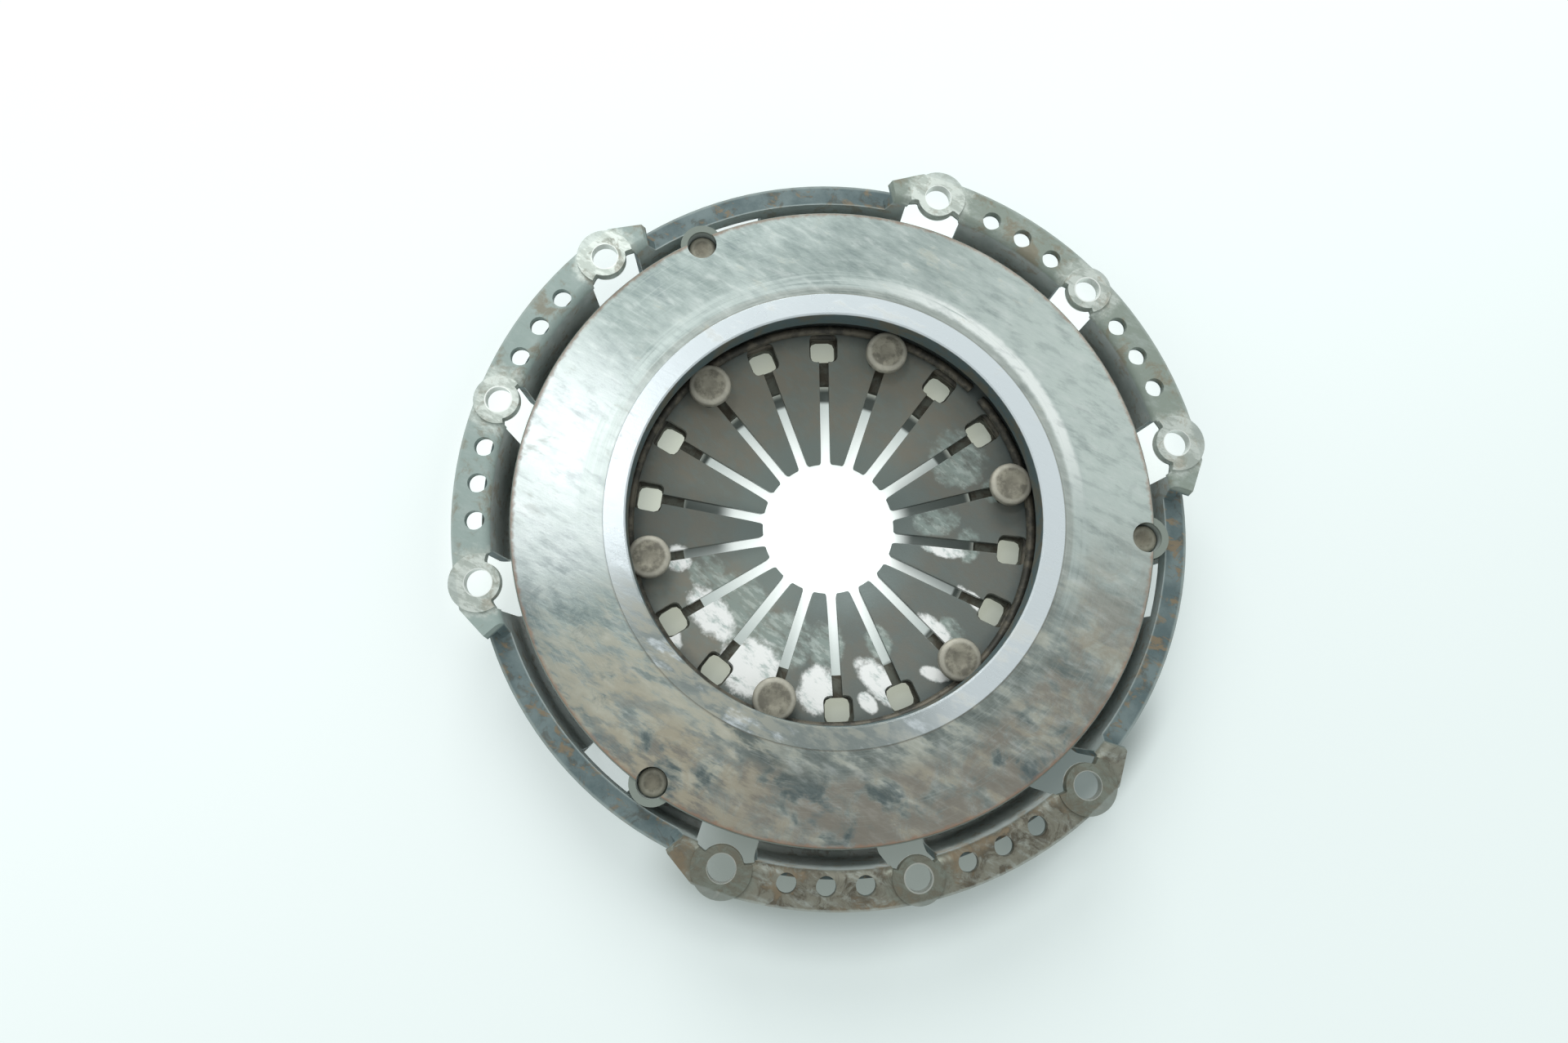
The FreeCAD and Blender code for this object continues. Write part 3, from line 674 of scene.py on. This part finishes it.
def makeSpringFinish(sizes, places, colours):
    f = Finish("tempered spring", {})
    shades = palette(colours)
    at = f.sectors(places)
    clouds = f.noise(f.place, 0.075, 5.0, 0.62)
    grain = f.streaks(sizes["grainLean"], 2.4, 0.4, 5.0, 0.68)
    tips = f.span(f.radius + f.ragged * 8.0, *sizes["tipTone"])
    outer = f.span(f.radius + f.ragged * 3.0, *sizes["outerTone"])
    body = f.stain(shades["dark"], shades["brown"], clouds, 0.4, 0.6)
    body = f.stain(body, shades["slate"], grain, 0.46, 0.66, 0.4)
    body = f.mix(tips * 0.75, body, shades["slate"])
    # painted shade on the lower right and left fingers
    body = f.mix(at["lowerRight"] * 0.48 | at["left"] * 0.4, body, shades["shade"])
    # painted shade on the spring's outer part, deep under the ring
    body = f.mix(outer * 0.8, body, shades["shade"])
    rubbed = f.blots(springRubs) * f.span(grain + clouds, 0.74, 1.06)
    chalk = f.stain(shades["rubbed"], shades["chalk"], f.streaks(sizes["chalkLean"], 3.0, 0.5), 0.48, 0.6)
    colour = f.mix(rubbed * 0.72, body, chalk)
    splashed = f.blots(springSplashes) * f.span(clouds + grain, 0.62, 0.78)
    colour = f.mix(splashed, colour, f.stain(shades["thinSplash"], shades["splash"], grain, 0.3, 0.52))
    roughness = 0.55 + splashed * 0.2 - tips * 0.12
    height = grain * 0.7 + f.noise(f.place, 1.5, 3.0, 0.7) * 0.7 + splashed * 1.2
    return f.finish(colour, roughness, 0.3 - splashed * 0.3, height, sizes["grainLift"])


def openingHalf(sizes, radius):
    # half the width of the slit or of the round-cornered window at a radius
    corner = sizes["windowCorner"]
    toEnd = min(radius - sizes["windowStart"], sizes["windowEnd"] - radius)
    if toEnd < 0:
        return sizes["slit"] / 2
    if toEnd >= corner:
        return sizes["windowWide"] / 2
    return sizes["windowWide"] / 2 - corner + math.sqrt(corner ** 2 - (corner - toEnd) ** 2)


def makeDiaphragm(name, sizes):
    start, end = sizes["windowStart"], sizes["windowEnd"]
    bore, corner = sizes["bore"], sizes["windowCorner"]
    curl = bore + sizes["tipLength"]
    eased = [corner * (1 - math.cos(math.radians(a))) for a in sizes["cornerTurns"]]
    # rows of points across a finger: radius, and how much the row is narrowed by the rounded tip
    slitRows = [(bore + away, sizes["tipRounding"] * share) for away, share in sizes["tipRows"]]
    slitRows += [(radius, 0.0) for radius in sorted((*sizes["fingerRows"], curl, start))]
    windowRows = [start + e for e in eased] + [end - e for e in reversed(eased)]
    rimRows = [end, *sizes["rimRows"], sizes["edge"]]
    pitch = 360 / sizes["fingers"]
    inner = [pitch * share for share in sizes["fingerShares"]]
    shape = bmesh.new()

    def height(radius):
        low = max(0.0, curl - radius) / sizes["tipLength"]
        return (sizes["frontAtPivot"] + (radius - sizes["pivot"]) * sizes["slope"]
                - sizes["tipCurl"] * low)

    def row(radius, edges, finger):
        # points from one edge of a finger to the other; edges are offsets in mm from its slits
        offsets = [math.degrees(math.asin(edge / radius)) for edge in edges]
        offsets = offsets[:1] + [min(offset, (offsets[0] + inner[0]) / 2) for offset in offsets[1:]]
        angles = offsets + inner + [pitch - offset for offset in reversed(offsets)]
        made = []
        for angle in angles:
            turn = math.radians(finger * pitch + angle)
            made.append(shape.verts.new(Vector((radius * math.cos(turn), radius * math.sin(turn),
                                                height(radius))) * mm))
        return made

    def skin(rows):
        for below, above in zip(rows, rows[1:]):
            for k in range(len(below) - 1):
                shape.faces.new((below[k], above[k], above[k + 1], below[k + 1]))

    for finger in range(sizes["fingers"]):
        shoulder = sizes["windowWide"] / 2 - corner
        skin([row(r, (sizes["slit"] / 2 + narrowing, shoulder), finger) for r, narrowing in slitRows])
        skin([row(r, (openingHalf(sizes, r),), finger) for r in windowRows])
        skin([row(r, (0.0, shoulder), finger) for r in rimRows])
    bmesh.ops.remove_doubles(shape, verts=shape.verts, dist=meshSizes["weld"] * mm)
    bmesh.ops.recalc_face_normals(shape, faces=shape.faces)
    if sum(face.normal.z for face in shape.faces) < 0:
        bmesh.ops.reverse_faces(shape, faces=shape.faces)
    piece = fromShape(name, shape)
    thicken(piece, sizes["thickness"])
    soften(piece, sizes["edgeRounding"])
    return piece


# Rivets: turned profiles with soft rims

rivetSizes = {
    "springCircle": 60.7,
    "springAngles": (0, 60),
    "headRadius": 7.0,
    "headSteps": 48,
    "lugCircle": 99.3,
    "lugAngle": 104,
    "lugHeights": (-6.7, -8.5, -18.65, -20.65),
    "seatCircle": 94.0,
    "seatAngle": 128,
    "seatHeights": (-14.7, -16.5, -21.45, -23.45),
    "endRadius": 4.5,
    "endSteps": 36,
    "grimeLift": 0.08,
}
# the dimple colour is painted shade and the rim colour a painted highlight, here and in endColours
headColours = {
    "metal": (168, 165, 149),
    "dimpleShade": (146, 143, 129),
    "rim": (206, 204, 190),
}
endColours = {
    "metal": (156, 154, 138),
    "dimpleShade": (132, 128, 112),
    "rim": (176, 174, 158),
}
# radius and height of the turned profile, from the middle of the head to the middle of the tail
springRivetProfile = (
    (0.0, -14.95), (1.2, -14.92), (2.2, -14.78), (3.0, -14.6), (3.8, -14.52), (4.9, -14.5), (5.9, -14.62),
    (6.55, -14.9), (6.9, -15.35), (7.0, -15.9), (7.0, -17.2), (6.8, -17.5), (3.8, -17.5), (3.8, -26.19),
    (3.0, -26.19), (3.0, -28.99), (4.8, -28.99), (5.0, -29.3), (4.9, -30.3), (4.3, -30.9), (3.2, -31.15),
    (0.0, -31.19),
)


def strapRivetProfile(top, headSeat, tailSeat, tail):
    return ((0.0, top), (3.2, top - 0.02), (4.0, top - 0.2), (4.42, top - 0.65),
            (4.5, headSeat), (3.0, headSeat), (3.0, tailSeat), (4.5, tailSeat),
            (4.4, tail + 0.7), (3.9, tail + 0.2), (3.0, tail), (0.0, tail))


def makeRivetFinish(name, centres, radius, lift, colours):
    f = Finish(name, {})
    shades = palette(colours)
    dirty = tint(*[c * 0.74 for c in colours["metal"]])
    away = f.nearest(centres)
    grime = f.noise(f.place, 0.3, 5.0, 0.66)
    fine = f.noise(f.place, 1.3, 4.0, 0.7)
    colour = f.stain(shades["metal"], dirty, grime, 0.38, 0.62)
    # painted shade in the dimple and a painted highlight round the rim
    colour = f.stain(colour, shades["dimpleShade"], away + f.ragged * 1.2, 2.8, 1.6, 0.6)
    rim = f.band(away + f.ragged * 0.8, radius - 1.7, radius, 0.5)
    colour = f.mix(rim * 0.6, colour, shades["rim"])
    return f.finish(colour, 0.5 + grime * 0.2, 0.28, grime * 1.2 + fine * 0.6, lift)


def placeRivets(name, node, centres, profile, steps, finish, body):
    for index, centre in enumerate(centres, start=1):
        adopt(lathe(f"{name}_{index}", profile, centre, steps), finish, f"{node}_{index}", body)


def makeRivets(sizes):
    springSpots = [spot(sizes["springCircle"], third + angle)
                   for third in thirds for angle in sizes["springAngles"]]
    lugSpots = [spot(sizes["lugCircle"], sizes["lugAngle"] + third) for third in thirds]
    seatSpots = [spot(sizes["seatCircle"], sizes["seatAngle"] + third) for third in thirds]
    lift = sizes["grimeLift"]
    heads = makeRivetFinish("rivet head", springSpots, sizes["headRadius"], lift, headColours)
    ends = makeRivetFinish("strap rivet", lugSpots + seatSpots, sizes["endRadius"], lift, endColours)
    lugProfile = strapRivetProfile(*sizes["lugHeights"])
    seatProfile = strapRivetProfile(*sizes["seatHeights"])
    placeRivets("shoulderRivet", "spring_rivet", springSpots, springRivetProfile, sizes["headSteps"], heads,
                "cover_body")
    placeRivets("lugRivet", "strap_plate_rivet", lugSpots, lugProfile, sizes["endSteps"], ends,
                "plate_body")
    placeRivets("seatRivet", "strap_cover_rivet", seatSpots, seatProfile, sizes["endSteps"], ends,
                "cover_body")


# Drive straps: thin blued leaves between lug and seat, made flat and cut across at even steps

leafSizes = {
    "thickness": 0.7,
    "top": -16.5,
    "width": 13.5,
    "hole": 6.6,
    "edgeRounding": 0.12,
    "bendStep": 2.5,
    "clamped": 5.0,
    "layers": 3,
    "holeSteps": 20,
    "grainLift": 0.03,
}
leafColours = {
    "blued": (96, 104, 108),
    "bright": (128, 134, 132),
    "rust": (122, 100, 78),
}


def makeLeafFinish(sizes, colours):
    f = Finish("strap steel", {})
    shades = palette(colours)
    clouds = f.noise(f.place, 0.12, 5.0, 0.62)
    grain = f.noise(f.place, 0.9, 4.0, 0.7)
    colour = f.stain(shades["blued"], shades["bright"], clouds, 0.4, 0.6)
    rust = f.span(clouds + grain, 1.02, 1.2)
    colour = f.mix(rust * 0.6, colour, shades["rust"])
    return f.finish(colour, 0.42 + rust * 0.3, 0.6 - rust * 0.4, grain, sizes["grainLift"])


def makeLeaf(name, lug, seat, top, sizes):
    length = (seat - lug).length
    along = (seat - lug).normalized()
    aside = Vector((-along.y, along.x))
    half = sizes["width"] / 2
    shape = bmesh.new()

    def loop(points):
        # a closed outline; points are distances along the leaf and to its side
        made = [shape.verts.new(Vector((*(lug + along * a + aside * b), top)) * mm) for a, b in points]
        for first, second in zip(made, made[1:] + made[:1]):
            shape.edges.new((first, second))

    turns = [math.radians(90 + 15 * k) for k in range(13)]  # the round end about the lug
    near = [(half * math.cos(t), half * math.sin(t)) for t in turns]
    loop(near + [(length - a, -b) for a, b in near])
    for middle in (0.0, length):
        ring = [math.tau * k / sizes["holeSteps"] for k in range(sizes["holeSteps"])]
        loop([(middle + sizes["hole"] / 2 * math.cos(t), sizes["hole"] / 2 * math.sin(t)) for t in ring])
    bmesh.ops.triangle_fill(shape, use_beauty=True, edges=shape.edges[:])
    for step in range(1, int(length / sizes["bendStep"])):
        cut = lug + along * step * sizes["bendStep"]
        bmesh.ops.bisect_plane(shape, geom=shape.verts[:] + shape.edges[:] + shape.faces[:],
                               plane_co=Vector((*cut, top)) * mm, plane_no=Vector((*along, 0)))
    for face in shape.faces:
        if face.normal.z < 0:
            face.normal_flip()
    piece = fromShape(name, shape)
    thicken(piece, sizes["thickness"])
    soften(piece, sizes["edgeRounding"], segments=1)
    return piece


def makeStraps(sizes):
    finish = makeLeafFinish(sizes, leafColours)
    for strap, third in enumerate(thirds, start=1):
        lug = Vector(spot(rivetSizes["lugCircle"], rivetSizes["lugAngle"] + third))
        seat = Vector(spot(rivetSizes["seatCircle"], rivetSizes["seatAngle"] + third))
        for layer in range(sizes["layers"]):
            top = sizes["top"] - layer * sizes["thickness"]
            piece = makeLeaf(f"driveLeaf_{strap}_{layer + 1}", lug, seat, top, sizes)
            adopt(piece, finish, f"strap_{strap}_leaf_{layer + 1}")
            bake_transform(piece)


wireSizes = {
    "grainLift": 0.03,
}
wireColours = {
    "dark": (66, 66, 60),
    "worn": (104, 100, 88),
}


def makeWireFinish(sizes, colours):
    f = Finish("pivot wire", {})
    shades = palette(colours)
    clouds = f.noise(f.place, 0.2, 5.0, 0.62)
    grain = f.noise(f.place, 1.2, 3.0, 0.7)
    colour = f.stain(shades["dark"], shades["worn"], clouds, 0.4, 0.6)
    return f.finish(colour, 0.5, 0.4, grain, sizes["grainLift"])


adopt(softened("pressedCover", "cover", coverSizes["edgeRounding"]),
      makeCoverFinish(coverSizes, coverPlaces, coverColours), "cover", "cover_body")
adopt(softened("frictionRing", "pressure_plate", ringSizes["edgeRounding"]),
      makeRingFinish(ringSizes, ringPlaces, ringColours), "pressure_plate", "plate_body")
print("cover and ring stand")
diaphragm = adopt(makeDiaphragm("slottedDiaphragm", springSizes),
                  makeSpringFinish(springSizes, springPlaces, springColours),
                  "diaphragm_spring", "cover_body")
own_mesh(diaphragm)
wireFinish = makeWireFinish(wireSizes, wireColours)
for name in ("front_pivot_ring", "rear_pivot_ring"):
    for slot in nodes[name].material_slots:
        slot.material = wireFinish
print("diaphragm and its wires stand")
makeRivets(rivetSizes)
makeStraps(leafSizes)
print("rivets and straps stand")


# Floor, lamps and room. The floor shows itself paler to the eye and to gloss than it is lit.

stageSizes = {
    "floorHalf": 3.0,
    "floorGap": 0.1,
    "farRun": (-190.0, 150.0),
    "glowFall": (60.0, 90.0),
    "slitFall": (23.0, 50.0),
    "rightSlitFall": (22.0, 30.0),
    "leftSlitFall": (32.0, 39.0),
    "windowFade": (57.0, 68.0),
    "shadowShift": (-1.5, -2.6),
    "shadowEdge": (47.2, 48.8),
    "windowRing": (49.0, 54.0, 80.0, 96.0),
    "clearRing": (97.0, 103.0, 117.0, 136.0),
    "shadeRing": (84.0, 92.0, 121.0, 134.0),
    "deepRing": (120.0, 132.0, 130.0, 144.0),
}
# places on the floor: direction in the picture, half width and softness, in degrees
stagePlaces = {
    "rightSlits": (2, 24, 14),
    "leftSlits": (178, 13, 9),
    "leftWindows": (162, 22, 12),
    "rightFlange": (42, 36, 10),
    "leftFlange": (170, 22, 10),
    "lowerFlange": (286, 40, 8),
    "corner": (316, 12, 10),
    "deep": (278, 18, 22),
}
stageColours = {
    "paper": (205, 212, 211),
    "farShade": (146, 156, 155),
    "farLight": (164, 171, 171),
    "middle": (226, 233, 230),
    "slits": (172, 182, 179),
    "dusk": (40, 46, 44),
    "underside": (150, 157, 154),
    "windows": (162, 166, 151),
    "leftWindows": (192, 198, 184),
    "clear": (196, 203, 200),
    "shade": (96, 104, 99),
    "deepShade": (60, 72, 72),
}


def pictureAxes(east, north):
    # how far right and how far up in the picture
    turn = math.radians(pictureTurn)
    return (east * math.cos(turn) - north * math.sin(turn), east * math.sin(turn) + north * math.cos(turn))


def ray(wiring, kind):
    # 1 for rays of a kind, 0 for others
    return wiring.node("ShaderNodeLightPath", {}, {}, f"Is {kind} Ray")


def makeFloor(height, sizes, places, colours):
    half = sizes["floorHalf"]
    floor = meshPiece("floor", [(-half, -half, height), (half, -half, height),
                                (half, half, height), (-half, half, height)], [(0, 1, 2, 3)])
    bpy.context.scene.collection.objects.link(floor)
    paper = Finish("pale floor", {"Roughness": 0.85, "Emission Strength": 1.0, "Specular IOR Level": 0.2})
    shades = palette(colours)
    at = paper.sectors(places)
    right, up = pictureAxes(paper.x, paper.y)
    radius = paper.radius
    # painted light and shade: paler towards the top left, a painted glow under the middle of the part,
    # dimmer under the outer slits
    bright = paper.stain(shades["farShade"], shades["farLight"], up - right * 0.5, *sizes["farRun"])
    bright = paper.stain(shades["middle"], bright, radius, *sizes["glowFall"])
    bright = paper.mix(paper.hump(radius, *sizes["slitFall"], *sizes["glowFall"]), bright, shades["slits"])
    # painted shade on the floor that shows through the slits, where the spring and the back plate would
    # shade it
    east = right - sizes["shadowShift"][0]
    north = up - sizes["shadowShift"][1]
    dusk = paper.span((east * east + north * north) ** 0.5, *sizes["shadowEdge"])
    dusk = dusk | (at["rightSlits"] * paper.span(radius, *sizes["rightSlitFall"]))
    dusk = dusk | (at["leftSlits"] * paper.span(radius, *sizes["leftSlitFall"]))
    start, full, hold, end = sizes["windowRing"]
    dusk = dusk * paper.span(radius, full, start)
    bright = paper.mix(dusk, bright, shades["dusk"])
    # painted light on the floor seen through the windows, paler on the left, with painted shade towards
    # their outer ends
    windows = paper.mix(at["leftWindows"], shades["windows"], shades["leftWindows"])
    windows = paper.stain(windows, shades["shade"], radius, *sizes["windowFade"], 0.5)
    bright = paper.mix(paper.hump(radius, start, full, hold, end), bright, windows)
    # painted light on the floor under two flanges; painted shade under the one away from the window, deepest
    # at its corner and beyond its edge
    clear = paper.hump(radius, *sizes["clearRing"]) * (at["rightFlange"] | at["leftFlange"])
    bright = paper.mix(clear, bright, shades["clear"])
    shade = paper.hump(radius, *sizes["shadeRing"]) * at["lowerFlange"]
    bright = paper.mix(shade, bright, shades["shade"])
    corner = paper.hump(radius, *sizes["shadeRing"]) * at["corner"]
    deep = corner | (paper.hump(radius, *sizes["deepRing"]) * at["deep"] * 0.7)
    bright = paper.mix(deep * 0.9, bright, shades["deepShade"])
    # painted shade also darkens the floor's own colour under the lower flange and the slits
    paint = paper.mix(shade | dusk, shades["paper"], shades["underside"])
    seen = ray(paper, "Camera") | ray(paper, "Glossy") | ray(paper, "Transmission")
    paper.feed(paper.shader.inputs["Base Color"], paint)
    paper.feed(paper.shader.inputs["Emission Color"], paper.mix(seen, (0.0, 0.0, 0.0, 1.0), bright))
    floor.data.materials.append(paper.material)


# direction in the picture and height, distance and width in metres, power in watts
lampSizes = {
    "window": {"direction": (-0.15, 0.8, 0.58), "distance": 1.6, "width": 0.9, "power": 12.0},
    "glare": {"direction": (-0.25, 0.25, 0.935), "distance": 1.5, "width": 0.26, "power": 1.3},
}


def makeLamp(name, direction, distance, width, power):
    data = bpy.data.lights.new(name, "AREA")
    data.shape = "DISK"
    data.size = width
    data.energy = power
    lamp = bpy.data.objects.new(name, data)
    bpy.context.scene.collection.objects.link(lamp)
    aim = Matrix.Rotation(math.radians(-pictureTurn), 3, "Z") @ Vector(direction).normalized()
    lamp.location = aim * distance
    lamp.rotation_mode = "QUATERNION"
    lamp.rotation_quaternion = aim.to_track_quat("Z", "Y")


# strengths of the room for gloss, for plain light and for the eye
roomSizes = {
    "overhead": (0.72, 0.95),
    "rise": (-0.12, 0.6),
    "ceiling": (0.2, 0.62),
    "walls": 0.6,
    "plain": 0.66,
    "eye": 0.95,
    "air": (0.97, 1.0, 0.995, 1.0),
}


def makeWorld(sizes):
    world = bpy.data.worlds.new("studio")
    bpy.context.scene.world = world
    world.use_nodes = True
    room = Wiring(world.node_tree)
    shade = world.node_tree.nodes["Background"]
    east, north, height = room.axes(room.node("ShaderNodeTexCoord", {}, {}, "Generated"))
    right, up = pictureAxes(east, north)
    # gloss sees a dim ceiling straight above, which brightens towards the top and the right
    overhead = room.span(height, *sizes["overhead"])
    lit = room.span(up + right * 0.7, *sizes["rise"], *sizes["ceiling"])
    light = lit * overhead + (1.0 - overhead) * sizes["walls"]
    plain = ray(room, "Diffuse")
    light = light * (1.0 - plain) + plain * sizes["plain"]
    eye = ray(room, "Camera")
    room.feed(shade.inputs["Color"], sizes["air"])
    room.feed(shade.inputs["Strength"], light * (1.0 - eye) + eye * sizes["eye"])


makeFloor(cadBox[0].z - stageSizes["floorGap"] * mm, stageSizes, stagePlaces, stageColours)
for name, lamp in lampSizes.items():
    makeLamp(name, **lamp)
makeWorld(roomSizes)
bpy.context.scene.view_settings.view_transform = "Standard"
print("floor and lamps stand")
